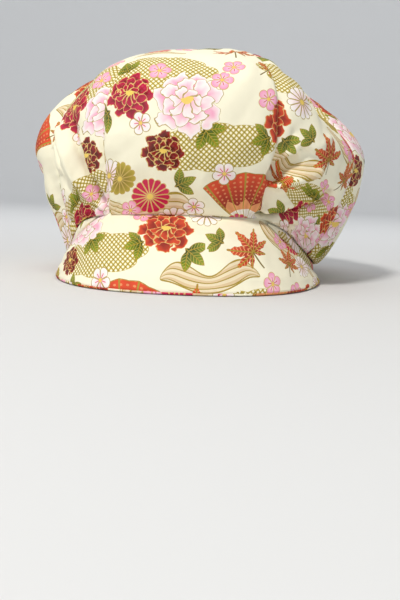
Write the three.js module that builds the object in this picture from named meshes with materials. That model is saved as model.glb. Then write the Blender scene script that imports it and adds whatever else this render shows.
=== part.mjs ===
// A baker boy cap in printed cotton: eight crown panels, a narrow head band and a two-layer peak.
// The cap stands by itself on z = 0, on the rim of its band and on the edge of its peak.
// Millimetres, +Z up, the peak points along -Y, and +X is the right-hand side seen from the front.
import * as THREE from "three";
import { mergeVertices } from "three/addons/utils/BufferGeometryUtils.js";

// Head opening: the oval that the crown's lower edge follows, a 58 cm cap
const rimHalfWidth = 86;
const rimHalfLength = 99;
const rimFrontHeight = 44;

// Crown: its fullest outline seen from above, and the heights that shape it
const bellyHalfWidth = 113;
const bellyFrontReach = 120;
const bellyBackReach = 134;
const bellyShift = 5;
const bellyHeight = 82;
const crownHeight = 151;
const crownTopShift = 10;
const droopHeight = 10;

// Peak: the outline of its outer edge, and where its two ends are
const peakHalfWidth = 90;
const peakFrontReach = 134;
const peakEdgePower = 2.5;
const peakShift = 3;
const peakEndDegrees = 72;
const peakBulge = 4;
const peakStripWidth = 6;

// Cloth and seams
const panelCloth = 1.6;
const bandCloth = 1.5;
const peakCloth = 1.3;
const seamGap = 0.4;
const frontPanelDegrees = 60;
const sidePanels = 7;
const seamDip = 10;
const seamDipWidth = 13;
const foldHeight = 8;
const foldWidth = 10;

// How finely the cloth is faceted
const frontColumns = 18;
const sideColumns = 12;
const bellyRows = 9;
const crestRows = 11;
const peakColumns = 32;
const peakRows = 5;
const bandColumns = 48;

const cotton = 0xf6eed2;
const degree = Math.PI / 180;

// Shape of the crown round the head. turn is in degrees from the front.
// rim is a share of rimFrontHeight, opening of the oval of the head opening, belly of
// bellyHeight and reach of the belly outline. fill says how full the cloth hangs under the
// belly, where 0 runs straight to the rim.
// shoulder is the roundness of the arc above the belly: 2 is an ellipse, more is squarer.
const directions = [
  { turn: -180, rim: 0.19, opening: 1.0, belly: 0.86, reach: 1.0, fill: 1.0, shoulder: 2.1 },
  { turn: -135, rim: 0.19, opening: 1.0, belly: 0.88, reach: 1.0, fill: 0.9, shoulder: 2.0 },
  { turn: -100, rim: 0.22, opening: 1.0, belly: 0.96, reach: 1.0, fill: 0.4, shoulder: 1.95 },
  { turn: -80, rim: 0.3, opening: 0.99, belly: 1.01, reach: 1.0, fill: 0.2, shoulder: 1.9 },
  { turn: -65, rim: 0.5, opening: 0.985, belly: 1.02, reach: 0.99, fill: 0.2, shoulder: 1.85 },
  { turn: -50, rim: 0.83, opening: 1.0, belly: 1.02, reach: 0.97, fill: 0.3, shoulder: 2.0 },
  { turn: -35, rim: 0.94, opening: 1.0, belly: 1.07, reach: 0.98, fill: 0.4, shoulder: 2.6 },
  { turn: -18, rim: 0.98, opening: 1.0, belly: 1.1, reach: 1.0, fill: 0.4, shoulder: 2.9 },
  { turn: 0, rim: 1.0, opening: 1.0, belly: 1.1, reach: 1.0, fill: 0.4, shoulder: 3.2 },
  { turn: 18, rim: 0.99, opening: 1.0, belly: 1.1, reach: 1.0, fill: 0.4, shoulder: 3.9 },
  { turn: 35, rim: 0.96, opening: 1.0, belly: 1.07, reach: 1.0, fill: 0.4, shoulder: 3.3 },
  { turn: 50, rim: 0.8, opening: 1.0, belly: 1.02, reach: 1.0, fill: 0.5, shoulder: 1.76 },
  { turn: 65, rim: 0.5, opening: 1.02, belly: 0.98, reach: 1.01, fill: 0.6, shoulder: 1.56 },
  { turn: 80, rim: 0.27, opening: 1.05, belly: 0.97, reach: 1.03, fill: 0.6, shoulder: 1.7 },
  { turn: 100, rim: 0.2, opening: 1.03, belly: 0.96, reach: 1.02, fill: 0.9, shoulder: 1.76 },
  { turn: 135, rim: 0.19, opening: 1.0, belly: 0.9, reach: 1.0, fill: 1.0, shoulder: 1.9 },
];

// Seams between the panels, from the front seam on +X round the back to the one on -X.
// atRim and atBelly are added to the even spacing, in degrees; dip is a share of seamDip.
const seams = [
  { name: "right_front", atRim: 4.5, atBelly: -1.5, dip: 0.06 },
  { name: "right_side", atRim: -3, atBelly: -3, dip: 0.15 },
  { name: "right_rear", atRim: -2, atBelly: -3, dip: 0.5 },
  { name: "right_back", atRim: 0, atBelly: 0, dip: 0.4 },
  { name: "left_back", atRim: 0, atBelly: 0, dip: 0.4 },
  { name: "left_rear", atRim: 2, atBelly: 3, dip: 0.5 },
  { name: "left_side", atRim: 3, atBelly: 8, dip: 1.0 },
  { name: "left_front", atRim: -2, atBelly: 1.5, dip: 0.1 },
];

// Folds pressed into the cloth, each along a line from one point to another on the crown.
// turn is in degrees; climb runs from 0 at the rim to 1 at the crown's centre.
// height and width are shares of foldHeight and foldWidth; a height below 0 is a valley.
const folds = [
  { turn: 33, climb: 0.3, toTurn: 46, toClimb: 0.39, height: -0.7, width: 0.6 },
  { turn: 36, climb: 0.38, toTurn: 48, toClimb: 0.47, height: 0.5, width: 0.8 },
  { turn: 36, climb: 0.11, toTurn: 58, toClimb: 0.31, height: -0.8, width: 0.6 },
  { turn: 37, climb: 0.21, toTurn: 52, toClimb: 0.34, height: 0.4, width: 0.7 },
  { turn: 42, climb: 0.7, toTurn: 72, toClimb: 0.66, height: -0.8, width: 1.9 },
  { turn: 60, climb: 0.14, toTurn: 70, toClimb: 0.3, height: -0.3, width: 0.7 },
  { turn: -40, climb: 0.46, toTurn: -34, toClimb: 0.12, height: -0.6, width: 0.6 },
  { turn: -47, climb: 0.46, toTurn: -42, toClimb: 0.24, height: 0.5, width: 0.8 },
  { turn: -64, climb: 0.58, toTurn: -52, toClimb: 0.38, height: -0.5, width: 0.7 },
  { turn: -56, climb: 0.3, toTurn: -44, toClimb: 0.1, height: -0.4, width: 0.7 },
  { turn: -78, climb: 0.36, toTurn: -94, toClimb: 0.3, height: -0.4, width: 0.7 },
  { turn: 16, climb: 0.92, toTurn: 9, toClimb: 0.64, height: -0.35, width: 1.2 },
  { turn: 128, climb: 0.5, toTurn: 140, toClimb: 0.14, height: -0.5, width: 0.9 },
  { turn: -128, climb: 0.48, toTurn: -140, toClimb: 0.12, height: -0.5, width: 0.9 },
  { turn: 176, climb: 0.4, toTurn: 168, toClimb: 0.12, height: -0.4, width: 0.8 },
];

// Climbs of the belly and of the panels' tips
const bellyClimb = 0.42;
const tipClimb = 0.99;

// A column of the directions table, carried smoothly round the head by a cubic through its rows.
function roundTheHead(column, turn) {
  const count = directions.length;
  const wrapped = THREE.MathUtils.euclideanModulo(turn + 180, 360) - 180;
  const row = directions.findLastIndex((entry) => entry.turn <= wrapped);
  const at = (step) => {
    const index = row + step;
    const entry = directions[THREE.MathUtils.euclideanModulo(index, count)];
    return { turn: entry.turn + 360 * Math.floor(index / count), value: entry[column] };
  };
  const [before, from, to, after] = [at(-1), at(0), at(1), at(2)];
  const span = to.turn - from.turn;
  const share = (wrapped - from.turn) / span;
  const slopeFrom = ((to.value - before.value) / (to.turn - before.turn)) * span;
  const slopeTo = ((after.value - from.value) / (after.turn - from.turn)) * span;
  const square = share * share;
  const cube = square * share;
  return (
    from.value * (2 * cube - 3 * square + 1) +
    slopeFrom * (cube - 2 * square + share) +
    to.value * (3 * square - 2 * cube) +
    slopeTo * (cube - square)
  );
}

// A point of an oval round the head, given its half axes, at a turn from the front.
function oval(halfWidth, front, back, turn) {
  const angle = turn * degree;
  const along = Math.cos(angle);
  return new THREE.Vector3(halfWidth * Math.sin(angle), -(along > 0 ? front : back) * along, 0);
}

// The quarter of a squared ellipse: across and up, as shares, at an angle from its flat end.
function quarter(roundness, angle) {
  const across = Math.max(Math.cos(angle), 0);
  const up = Math.max(Math.sin(angle), 0);
  const size = (across ** roundness + up ** roundness) ** (-1 / roundness);
  return [across * size, up * size];
}

// A point of the head opening, or of an oval that lies inside it, at a turn from the front.
function opening(turn, inside) {
  const spread = roundTheHead("opening", turn);
  const halfLength = rimHalfLength * spread - inside;
  return oval(rimHalfWidth * spread - inside, halfLength, halfLength, turn);
}

function rimHeight(turn) {
  return rimFrontHeight * roundTheHead("rim", turn);
}

// The crown's smooth form, before seams and folds shape it: from the rim it runs out and
// hangs up to the belly, then rounds over the shoulder to the crown's centre.
function plainCrown(turn, climb) {
  const rim = opening(turn, 0).setZ(rimHeight(turn));
  const belly = oval(bellyHalfWidth, bellyFrontReach, bellyBackReach, turn);
  belly.multiplyScalar(roundTheHead("reach", turn));
  belly.x += bellyShift;
  belly.z = bellyHeight * roundTheHead("belly", turn);
  if (climb < bellyClimb) {
    const fill = roundTheHead("fill", turn);
    const rise = belly.z - rim.z;
    const leaving = rim.clone().lerp(belly, 0.15 + 0.25 * fill);
    leaving.z = rim.z + 0.3 * rise * (1 - fill) - droopHeight * fill ** 3;
    const hanging = rim.clone().lerp(belly, 0.75 + 0.25 * fill).setZ(belly.z - 0.45 * rise);
    return new THREE.CubicBezierCurve3(rim, leaving, hanging, belly).getPoint(climb / bellyClimb);
  }
  const top = new THREE.Vector3(bellyShift, crownTopShift, crownHeight);
  const angle = ((climb - bellyClimb) / (1 - bellyClimb)) * 90 * degree;
  const [across, up] = quarter(roundTheHead("shoulder", turn), angle);
  const point = top.clone().lerp(belly, across);
  return point.setZ(belly.z + (top.z - belly.z) * up);
}

// Where a seam runs, in degrees from the front, at a climb.
function seamTurn(index, climb) {
  const spacing = (360 - frontPanelDegrees) / sidePanels;
  const seam = seams[index];
  const share = Math.sin(Math.min(climb / bellyClimb, 1) * 90 * degree);
  const shift = THREE.MathUtils.lerp(seam.atRim, seam.atBelly, share);
  return frontPanelDegrees / 2 + index * spacing + shift;
}

// The signed difference of two turns, from -180 to 180 degrees.
function turnBetween(from, to) {
  return THREE.MathUtils.euclideanModulo(to - from + 180, 360) - 180;
}

// How far the cloth stands out from its plain form: seams pull it in, folds raise or sink it.
function relief(turn, climb) {
  const fullness = Math.sin(Math.min(climb / bellyClimb, 1) * 90 * degree) * (1 - climb ** 4);
  const perTurn = bellyHalfWidth * degree * Math.max(1 - climb, 0.05) * 1.4;
  const perClimb = bellyHalfWidth + crownHeight;
  let height = 0;
  seams.forEach((seam, index) => {
    const away = turnBetween(seamTurn(index, climb), turn) * bellyHalfWidth * degree;
    height -= seam.dip * seamDip * fullness * Math.exp(-((away / seamDipWidth) ** 2));
  });
  for (const fold of folds) {
    const along = new THREE.Vector2(
      turnBetween(fold.turn, fold.toTurn) * perTurn,
      (fold.toClimb - fold.climb) * perClimb,
    );
    const here = new THREE.Vector2(turnBetween(fold.turn, turn) * perTurn, (climb - fold.climb) * perClimb);
    const share = THREE.MathUtils.clamp(here.dot(along) / along.lengthSq(), 0, 1);
    const away = here.addScaledVector(along, -share).length() / (foldWidth * fold.width);
    height += foldHeight * fold.height * fullness * Math.exp(-away * away);
  }
  return height;
}

// The outward normal of a surface given by two coordinates.
function normalOf(surface, u, v, stepU, stepV) {
  const alongU = surface(u + stepU, v).sub(surface(u - stepU, v));
  const alongV = surface(u, v + stepV).sub(surface(u, v - stepV));
  return alongU.cross(alongV).normalize();
}

function crown(turn, climb) {
  const inside = THREE.MathUtils.clamp(climb, 0.002, tipClimb);
  const normal = normalOf(plainCrown, turn, inside, 0.5, 0.002);
  return plainCrown(turn, climb).addScaledVector(normal, relief(turn, climb));
}

// A closed piece of cloth from a grid of points on its face and the same grid on its back.
function clothPiece(face, back) {
  const rows = face.length;
  const columns = face[0].length;
  const positions = [...face.flat(), ...back.flat()].flatMap((point) => point.toArray());
  const faceAt = (row, column) => row * columns + column;
  const backAt = (row, column) => rows * columns + faceAt(row, column);
  const triangles = [];
  const quad = (a, b, c, d) => triangles.push([a, b, c], [a, c, d]);
  for (let row = 0; row < rows - 1; row++) {
    for (let column = 0; column < columns - 1; column++) {
      const corners = [[row, column], [row, column + 1], [row + 1, column + 1], [row + 1, column]];
      quad(...corners.map((corner) => faceAt(...corner)));
      quad(...corners.reverse().map((corner) => backAt(...corner)));
    }
  }
  for (let row = 0; row < rows - 1; row++) {
    const last = columns - 1;
    quad(backAt(row, 0), faceAt(row, 0), faceAt(row + 1, 0), backAt(row + 1, 0));
    quad(faceAt(row, last), backAt(row, last), backAt(row + 1, last), faceAt(row + 1, last));
  }
  for (let column = 0; column < columns - 1; column++) {
    const last = rows - 1;
    quad(backAt(0, column), backAt(0, column + 1), faceAt(0, column + 1), faceAt(0, column));
    quad(faceAt(last, column), faceAt(last, column + 1), backAt(last, column + 1), backAt(last, column));
  }
  const geometry = new THREE.BufferGeometry();
  geometry.setAttribute("position", new THREE.Float32BufferAttribute(positions, 3));
  geometry.setIndex(triangles.flat());
  const merged = mergeVertices(geometry, 1e-3);
  const indices = Array.from(merged.index.array);
  const kept = [];
  for (let at = 0; at < indices.length; at += 3) {
    const [a, b, c] = indices.slice(at, at + 3);
    if (a !== b && b !== c && c !== a) kept.push(a, b, c);
  }
  merged.setIndex(kept);
  merged.computeVertexNormals();
  return merged;
}

// Moves a point of a grid by half a seam's gap towards the next point along its row.
function drawnIn(edge, next) {
  const inward = next.clone().sub(edge);
  return edge.clone().addScaledVector(inward.normalize(), Math.min(seamGap / 2, inward.length() / 3));
}

// The climbs of the rows of a panel, from the rim to the tip.
function panelClimbs() {
  const climbs = [];
  for (let row = 0; row < bellyRows; row++) climbs.push((bellyClimb * row) / bellyRows);
  for (let row = 0; row <= crestRows; row++) {
    climbs.push(bellyClimb + ((tipClimb - bellyClimb) * row) / crestRows);
  }
  return climbs;
}

// One crown panel, between a seam and the next one round the head.
function crownPanel(from, to, columns) {
  const face = [];
  const back = [];
  const climbs = panelClimbs();
  climbs.forEach((climb, row) => {
    const start = seamTurn(from, climb) - (from > to ? 360 : 0);
    const end = seamTurn(to, climb);
    const isTip = row === climbs.length - 1;
    const turns = Array.from({ length: columns + 1 }, (_, column) => {
      const share = isTip ? (column <= columns / 2 ? 0 : 1) : column / columns;
      return THREE.MathUtils.lerp(start, end, share);
    });
    const faceRow = turns.map((turn) => crown(turn, climb));
    const backRow = turns.map((turn, column) => {
      const inside = THREE.MathUtils.clamp(climb, 0.002, tipClimb - 0.01);
      const normal = normalOf(crown, turn, inside, 0.5, 0.004);
      return faceRow[column].clone().addScaledVector(normal, -panelCloth);
    });
    for (const line of [faceRow, backRow]) {
      const last = line.length - 1;
      const nextIn = isTip ? last : 1;
      const first = drawnIn(line[0], line[nextIn]);
      const final = drawnIn(line[last], line[last - nextIn]);
      line.forEach((point, column) => {
        if (column === 0 || (isTip && column <= columns / 2)) point.copy(first);
        if (column === last || (isTip && column > columns / 2)) point.copy(final);
      });
    }
    face.push(faceRow);
    back.push(backRow);
  });
  return clothPiece(face, back);
}

// The turns of the peak's columns, which the head band's front ends share.
const peakTurns = Array.from({ length: peakColumns + 1 }, (_, column) => {
  return peakEndDegrees * ((2 * column) / peakColumns - 1);
});

// Height of the seam that joins the peak to the cap, at a turn: the band shows above it at the sides.
function peakSeamHeight(turn) {
  const start = frontPanelDegrees / 2 + seams[0].atRim;
  const share = THREE.MathUtils.smoothstep(Math.abs(turnBetween(0, turn)), start, start + 16);
  return rimHeight(turn) - peakStripWidth * share - seamGap;
}

// A point of the peak. across runs from 0 at the seam to 1 at the outer edge, and depth goes
// down from the upper face, square to the peak's slope. The lower edge lies on the surface.
function peak(across, turn, depth) {
  const seam = opening(turn, 0).setZ(peakSeamHeight(turn));
  const [forward, sideways] = quarter(peakEdgePower, Math.abs(turn) * degree);
  const edge = new THREE.Vector3(
    peakShift + Math.sign(turn) * peakHalfWidth * sideways,
    -peakFrontReach * forward,
    0,
  );
  const slope = edge.clone().sub(seam);
  const level = slope.clone().setZ(0);
  const up = level.clone().multiplyScalar(-slope.z / level.length()).setZ(level.length()).normalize();
  const fullness = 4 * across * (1 - across) * Math.cos((turn / peakEndDegrees) * 80 * degree);
  const lift = peakBulge * fullness + (2 * peakCloth + seamGap) * across;
  return seam.lerp(edge, across).addScaledVector(up, lift - depth);
}

// One layer of the peak, from a depth under its upper face to that depth and the cloth more.
function peakLayer(depth) {
  const sheet = (below) =>
    peakTurns.map((turn) =>
      Array.from({ length: peakRows + 1 }, (_, row) => peak(row / peakRows, turn, below)),
    );
  return clothPiece(sheet(depth), sheet(depth + peakCloth));
}

// The head band: round the sides and back it stands on the floor, and its ends run up
// between the crown and the peak to the two front seams.
function headBand() {
  const start = frontPanelDegrees / 2 + seams[0].atRim + 5;
  const sweep = 360 - 2 * peakEndDegrees;
  const turns = [
    ...peakTurns.filter((turn) => turn > start && turn < peakEndDegrees),
    ...Array.from({ length: bandColumns + 1 }, (_, step) => peakEndDegrees + (sweep * step) / bandColumns),
    ...peakTurns.filter((turn) => turn < -start && turn > -peakEndDegrees).map((turn) => turn + 360),
  ];
  const levels = turns.map((turn) => {
    const fromEnd = Math.abs(turnBetween(0, turn)) - peakEndDegrees;
    const landed = THREE.MathUtils.smoothstep(fromEnd, sweep / bandColumns, (3 * sweep) / bandColumns);
    const low = THREE.MathUtils.lerp(peakSeamHeight(turn) + seamGap, 0, landed);
    return { turn, low, high: rimHeight(turn) - seamGap };
  });
  const wall = (inside) =>
    [0, 0.5, 1].map((share) =>
      levels.map(({ turn, low, high }) => {
        const height = THREE.MathUtils.lerp(low, high, share);
        return opening(turn, inside).setZ(height);
      }),
    );
  return clothPiece(wall(seamGap), wall(seamGap + bandCloth));
}

const cap = new THREE.Group();

function addPiece(name, geometry, color, roughness) {
  const cloth = new THREE.MeshStandardMaterial({ color, roughness, metalness: 0 });
  const mesh = new THREE.Mesh(geometry, cloth);
  mesh.name = name;
  cap.add(mesh);
}

// Crown: the wide front panel, three panels down each side, and the back one
const panelNames = [
  "crown_right_front",
  "crown_right_side",
  "crown_right_rear",
  "crown_back",
  "crown_left_rear",
  "crown_left_side",
  "crown_left_front",
];
addPiece("crown_front", crownPanel(seams.length - 1, 0, frontColumns), cotton, 0.85);
panelNames.forEach((name, index) => {
  addPiece(name, crownPanel(index, index + 1, sideColumns), cotton, 0.85);
});

addPiece("head_band", headBand(), cotton, 0.85);
addPiece("peak_upper", peakLayer(0), cotton, 0.85);
addPiece("peak_under", peakLayer(peakCloth + seamGap), cotton, 0.85);

// The origin is the middle of the footprint, on the surface that the cap stands on
const extent = new THREE.Box3().setFromObject(cap);
const middle = extent.getCenter(new THREE.Vector3());
cap.children.forEach((mesh) => mesh.position.set(-middle.x, -middle.y, -extent.min.z));

export default cap;
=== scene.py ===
# %% [markdown]
# # A baker boy cap in printed cotton
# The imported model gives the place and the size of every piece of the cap. This lesson dresses it:
# each panel of cloth is cut from a flat grid, laid over the crown, tucked at its seams and printed.
# Sizes are in millimetres while we work, as on a paper pattern, and in metres in the meshes.

# %% Load the frame
import math
import bmesh
import bpy
import numpy as np
from mathutils import Matrix, Vector


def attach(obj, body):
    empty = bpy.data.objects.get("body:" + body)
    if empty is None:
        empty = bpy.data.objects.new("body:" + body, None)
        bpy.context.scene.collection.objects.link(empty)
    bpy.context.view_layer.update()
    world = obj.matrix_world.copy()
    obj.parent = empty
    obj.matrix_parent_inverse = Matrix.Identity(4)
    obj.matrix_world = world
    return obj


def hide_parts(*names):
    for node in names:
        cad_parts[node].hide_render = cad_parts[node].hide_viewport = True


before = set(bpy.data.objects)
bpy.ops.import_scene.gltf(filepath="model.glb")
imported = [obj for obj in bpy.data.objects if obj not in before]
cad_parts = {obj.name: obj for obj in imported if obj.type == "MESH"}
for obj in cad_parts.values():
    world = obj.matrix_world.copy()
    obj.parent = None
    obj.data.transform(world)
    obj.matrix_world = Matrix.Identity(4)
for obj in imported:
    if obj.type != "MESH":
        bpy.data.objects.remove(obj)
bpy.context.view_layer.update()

# %% [markdown]
# ## The camera
# It stands as far from the cap as in the photograph, a little to one side and a hand's width above
# the surface. A slight roll keeps the cap's seam at the slope that the photograph shows. The lens
# is set from the photograph's height of 600 pixels, so the view keeps its scale at any size.

# %% Place the camera
FOCAL_PIXELS, PHOTO_HEIGHT, SENSOR_HEIGHT = 866, 600, 36
CAMERA = {"distance": 620, "height": 62, "azimuth": 3.0, "pitch": 7.5, "roll": 2.0, "pan": 0.33}

lens = bpy.data.cameras.new("camera")
lens.sensor_fit = "VERTICAL"
lens.sensor_height = SENSOR_HEIGHT
lens.lens = FOCAL_PIXELS * SENSOR_HEIGHT / PHOTO_HEIGHT
camera = bpy.data.objects.new("camera", lens)
bpy.context.scene.collection.objects.link(camera)
azimuth = math.radians(CAMERA["azimuth"])
camera.matrix_world = (
    Matrix.Rotation(azimuth, 4, "Z")
    @ Matrix.Translation((0, -CAMERA["distance"] / 1000, CAMERA["height"] / 1000))
    @ Matrix.Rotation(math.radians(-CAMERA["pan"]), 4, "Z")
    @ Matrix.Rotation(math.radians(90 - CAMERA["pitch"]), 4, "X")
    @ Matrix.Rotation(math.radians(CAMERA["roll"]), 4, "Z")
)
bpy.context.scene.camera = camera
print("camera at", [round(v, 3) for v in camera.matrix_world.translation])

# %% [markdown]
# ## The form of the crown
# The crown is a puffed shell. Every point on it has a turn, in degrees from the front, and a climb,
# from 0 at the head opening to 1 at the crown's centre. A short table of directions says how high
# and how full the cloth stands, and a cubic curve carries each column smoothly round the head.

# %% Name the sizes
RIM = {"half_width": 86, "half_length": 99, "front_height": 44}
BELLY = {"half_width": 113, "front": 120, "back": 134, "shift": 5, "height": 82}
CROWN = {"height": 151, "top_shift": 10, "droop": 10, "belly_climb": 0.42}
PEAK = {"half_width": 90, "reach": 134, "power": 2.5, "shift": 3, "end": 72, "bulge": 4, "strip": 6}
PEAK_LAYER, GAP = 1.3, 0.4
# thickness of the cloth as it is shown, a little thinner than the solids
WALLS = {"crown": 0.9, "peak": 1.1, "band": 1.2}
FRONT_PANEL, SIDE_PANELS = 60, 7
# The origin of the part, in the cap's own millimetres
ORIGIN = np.array([6.53, -1.40, 0.0])

# turn, rim height, spread of the opening, belly height, reach, fill under the belly, and
# roundness of the shoulder
DIRECTIONS = np.array([
    (-180, 0.19, 1.000, 0.86, 1.00, 1.00, 2.10),
    (-135, 0.19, 1.000, 0.88, 1.00, 0.90, 2.00),
    (-100, 0.22, 1.000, 0.96, 1.00, 0.40, 1.95),
    (-80, 0.30, 0.990, 1.01, 1.00, 0.20, 1.90),
    (-65, 0.50, 0.985, 1.02, 0.99, 0.20, 1.85),
    (-50, 0.83, 1.000, 1.02, 0.97, 0.30, 2.00),
    (-35, 0.94, 1.000, 1.07, 0.98, 0.40, 2.60),
    (-18, 0.98, 1.000, 1.10, 1.00, 0.40, 2.90),
    (0, 1.00, 1.000, 1.10, 1.00, 0.40, 3.20),
    (18, 0.99, 1.000, 1.10, 1.00, 0.40, 3.90),
    (35, 0.96, 1.000, 1.07, 1.00, 0.40, 3.30),
    (50, 0.80, 1.000, 1.02, 1.00, 0.50, 1.76),
    (65, 0.50, 1.020, 0.98, 1.01, 0.60, 1.56),
    (80, 0.27, 1.050, 0.97, 1.03, 0.60, 1.70),
    (100, 0.20, 1.030, 0.96, 1.02, 0.90, 1.76),
    (135, 0.19, 1.000, 0.90, 1.00, 1.00, 1.90),
])
RIM_HEIGHT, SPREAD, BELLY_HEIGHT, REACH, FILL, SHOULDER = 1, 2, 3, 4, 5, 6


def round_the_head(column, turn):
    """A column of the table at any turn, by a cubic through its rows."""
    turns, values = DIRECTIONS[:, 0], DIRECTIONS[:, column]
    wrapped = (turn + 180) % 360 - 180
    row = np.searchsorted(turns, wrapped, side="right") - 1

    def at(step):
        index = row + step
        return turns[index % len(turns)] + 360 * (index // len(turns)), values[index % len(turns)]

    (t0, v0), (t1, v1), (t2, v2), (t3, v3) = at(-1), at(0), at(1), at(2)
    share = (wrapped - t1) / (t2 - t1)
    slope1 = (v2 - v0) / (t2 - t0) * (t2 - t1)
    slope2 = (v3 - v1) / (t3 - t1) * (t2 - t1)
    square, cube = share**2, share**3
    return (
        v1 * (2 * cube - 3 * square + 1) + slope1 * (cube - 2 * square + share)
        + v2 * (3 * square - 2 * cube) + slope2 * (cube - square)
    )


rim_heights = RIM["front_height"] * round_the_head(RIM_HEIGHT, np.array([0.0, 180.0]))
print("rim at the front and at the back:", rim_heights)

# %% [markdown]
# The plain form comes first, with no seams or folds. Below the belly the cloth hangs on a Bézier
# curve down to the rim. Above it, it rounds over the shoulder on a squared ellipse.

# %% Shape the plain crown
# where the curve's two inner points lie, as shares of the way from the rim to the belly, with the
# part that the fill under the belly adds
LEAVING, HANGING, FILL_SHIFT = 0.15, 0.75, 0.25
LEAVING_RISE, HANGING_RISE = 0.3, 0.45
# a normal is measured on the cloth between these climbs
NORMAL_CLIMBS = (0.004, 0.985)


def stack(x, y, z):
    return np.stack(np.broadcast_arrays(x, y, z), axis=-1).astype(float)


def oval(half_width, front, back, turn, z=0.0):
    angle = np.radians(turn)
    along = np.cos(angle)
    return stack(half_width * np.sin(angle), -np.where(along > 0, front, back) * along, z)


def quarter(power, angle):
    """Across and up, as shares, on a squared quarter ellipse."""
    across, up = np.maximum(np.cos(angle), 0), np.maximum(np.sin(angle), 0)
    size = (across**power + up**power) ** (-1 / power)
    return across * size, up * size


def rim_height(turn):
    return RIM["front_height"] * round_the_head(RIM_HEIGHT, turn)


def opening(turn, z, inside=0.0):
    """The head opening's oval, or one that lies inside it."""
    spread = round_the_head(SPREAD, turn)[..., None]
    round_it = oval(RIM["half_width"], RIM["half_length"], RIM["half_length"], turn) * spread
    return with_height(round_it - oval(1, 1, 1, turn) * np.asarray(inside)[..., None], z)


def smoothstep(value, low, high):
    share = np.clip((value - low) / (high - low), 0, 1)
    return share * share * (3 - 2 * share)


def mixed(a, b, share):
    return a + (b - a) * np.asarray(share)[..., None]


def with_height(points, z):
    return stack(points[..., 0], points[..., 1], z)


def plain_crown(turn, climb):
    rim = opening(turn, rim_height(turn))
    belly = oval(BELLY["half_width"], BELLY["front"], BELLY["back"], turn)
    belly = belly * round_the_head(REACH, turn)[..., None]
    belly = belly + np.array([BELLY["shift"], 0, 0])
    belly = with_height(belly, BELLY["height"] * round_the_head(BELLY_HEIGHT, turn))
    fill = round_the_head(FILL, turn)
    rise = belly[..., 2] - rim[..., 2]
    leaving = with_height(
        mixed(rim, belly, LEAVING + FILL_SHIFT * fill),
        rim[..., 2] + LEAVING_RISE * rise * (1 - fill) - CROWN["droop"] * fill**3,
    )
    hanging = with_height(
        mixed(rim, belly, HANGING + FILL_SHIFT * fill), belly[..., 2] - HANGING_RISE * rise
    )
    s = np.clip(climb / CROWN["belly_climb"], 0, 1)[..., None]
    lower = (1 - s) ** 3 * rim + 3 * (1 - s) ** 2 * s * leaving + 3 * (1 - s) * s**2 * hanging + s**3 * belly
    top = np.array([BELLY["shift"], CROWN["top_shift"], CROWN["height"]])
    angle = np.clip((climb - CROWN["belly_climb"]) / (1 - CROWN["belly_climb"]), 0, 1) * np.pi / 2
    across, up = quarter(round_the_head(SHOULDER, turn), angle)
    upper = with_height(mixed(top, belly, across), belly[..., 2] + (top[2] - belly[..., 2]) * up)
    return np.where((climb < CROWN["belly_climb"])[..., None], lower, upper)


def normal_of(surface, turn, climb, turn_step=0.5, climb_step=0.003):
    climb = np.clip(climb, *NORMAL_CLIMBS)
    along = surface(turn + turn_step, climb) - surface(turn - turn_step, climb)
    upward = surface(turn, climb + climb_step) - surface(turn, climb - climb_step)
    normal = np.cross(along, upward)
    return normal / np.linalg.norm(normal, axis=-1, keepdims=True)


# %% [markdown]
# Seams pull the cloth in between the puffed panels, and folds run where the photograph shows them:
# fanning from the feet of the two front seams, and in the hollow beside the front panel's shoulder.

# %% Add the seams and the folds
# shift at the rim and at the belly in degrees, depth of the dip
SEAMS = [
    (4.5, -1.5, 0.06), (-3, -3, 0.15), (-2, -3, 0.5), (0, 0, 0.4),
    (0, 0, 0.4), (2, 3, 0.5), (3, 8, 1.0), (-2, 1.5, 0.1),
]
SEAM_DIP, SEAM_WIDTH, FOLD_HEIGHT, FOLD_WIDTH = 10, 13, 8, 10
# how steeply a fold falls off on its sides, and how round its crest is
FOLD_FALL, CREST = 1.5, 0.2
# a degree of turn covers less cloth towards the centre: the least share, and a factor for fullness
LEAST_SHARE, FULLNESS = 0.05, 1.4

# from turn and climb, to turn and climb, height, width
FOLDS = [
    (31, 0.28, 40, 0.40, -0.65, 0.6),
    (33, 0.25, 45, 0.35, 0.50, 0.7),
    (37, 0.38, 48, 0.47, 0.40, 0.8),
    (35, 0.04, 57, 0.28, -0.85, 0.6),
    (35, 0.10, 48, 0.24, 0.45, 0.7),
    (42, 0.02, 54, 0.12, 0.25, 0.8),
    (42, 0.70, 72, 0.66, -0.80, 1.9),
    (60, 0.14, 70, 0.30, -0.30, 0.7),
    (-40, 0.46, -34, 0.12, -0.60, 0.6),
    (-47, 0.46, -42, 0.24, 0.50, 0.8),
    (-64, 0.58, -52, 0.38, -0.50, 0.7),
    (-56, 0.30, -44, 0.10, -0.40, 0.7),
    (-78, 0.36, -94, 0.30, -0.40, 0.7),
    (16, 0.92, 9, 0.64, -0.35, 1.2),
    (128, 0.50, 140, 0.14, -0.50, 0.9),
    (-128, 0.48, -140, 0.12, -0.50, 0.9),
    (176, 0.40, 168, 0.12, -0.40, 0.8),
]


def seam_turn(index, climb):
    spacing = (360 - FRONT_PANEL) / SIDE_PANELS
    at_rim, at_belly, _ = SEAMS[index]
    share = np.sin(np.clip(climb / CROWN["belly_climb"], 0, 1) * np.pi / 2)
    return FRONT_PANEL / 2 + index * spacing + at_rim + (at_belly - at_rim) * share


def turn_between(start, end):
    return (end - start + 180) % 360 - 180


def from_line(here, line):
    """How far each point is from the straight line between the origin and `line`."""
    share = np.clip((here[0] * line[0] + here[1] * line[1]) / (line[0] ** 2 + line[1] ** 2), 0, 1)
    return np.hypot(here[0] - share * line[0], here[1] - share * line[1])


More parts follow.
